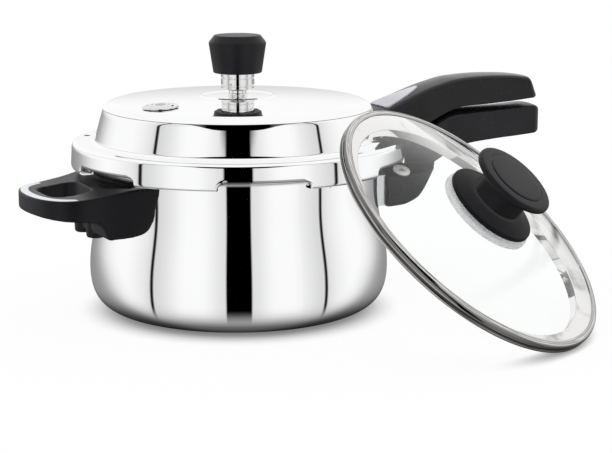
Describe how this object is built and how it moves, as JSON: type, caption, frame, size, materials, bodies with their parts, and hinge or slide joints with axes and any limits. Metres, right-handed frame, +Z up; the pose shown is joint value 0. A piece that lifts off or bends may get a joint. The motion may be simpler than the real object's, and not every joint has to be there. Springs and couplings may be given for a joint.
{
  "type": "pressure cooker",
  "caption": "Polished steel pressure cooker with an outside locking lid, pressure weight, black long and helper handles, and a spare glass lid with a knob leaning on its side.",
  "frame": {"origin": "centre of the pot's flat base, on the surface it stands on", "axes": "+X along the two long handles, away from the helper handle; +Z up along the pot's axis"},
  "size_m": [0.3876, 0.3392, 0.187],
  "materials": {
    "polished_steel": "mirror-polished stainless steel",
    "black_bakelite": "moulded, satin",
    "silver_inlay": "silver coated, satin",
    "seal_rubber": "matt",
    "fuse_alloy": "cast, dull",
    "clear_silicone": "translucent, satin",
    "lid_glass": "clear tempered glass"
  },
  "bodies": {
    "pot": {"pot_shell": "polished_steel", "body_bracket": "polished_steel", "body_handle": "black_bakelite", "body_screw_near": "polished_steel", "body_screw_far": "polished_steel", "helper_bracket": "polished_steel", "helper_handle": "black_bakelite", "helper_inlay": "silver_inlay", "helper_screw": "polished_steel"},
    "lid": {"lid_shell": "polished_steel", "seal_ring": "seal_rubber", "lid_strap": "polished_steel", "lid_handle": "black_bakelite", "lid_handle_leaf": "silver_inlay", "lid_handle_screw": "polished_steel", "vent_pipe": "polished_steel", "vent_washer": "seal_rubber", "vent_nut": "polished_steel", "safety_plug": "polished_steel", "safety_plug_core": "fuse_alloy", "safety_plug_washer": "seal_rubber", "safety_plug_nut": "polished_steel"},
    "weight": {"weight_body": "polished_steel", "weight_cap": "black_bakelite"},
    "glass_lid": {"glass_disc": "lid_glass", "glass_rim": "polished_steel", "knob_flange": "black_bakelite", "knob_grip": "black_bakelite", "knob_disc": "black_bakelite", "knob_washer": "clear_silicone", "knob_screw": "polished_steel"}
  },
  "joints": [
    {"name": "lid_turn", "type": "hinge", "parent": "pot", "child": "lid", "pos_m": [0, 0, 0.1], "axis": [0, 0, 1], "range_deg": [0, 30]},
    {"name": "weight_lift", "type": "slide", "parent": "lid", "child": "weight", "axis": [0, 0, 1], "range_m": [0, 0.035]},
    {"name": "glass_lid_lift", "type": "slide", "parent": "pot", "child": "glass_lid", "axis": [0.3696, -0.55, 0.749], "range_m": [0, 0.06]}
  ]
}
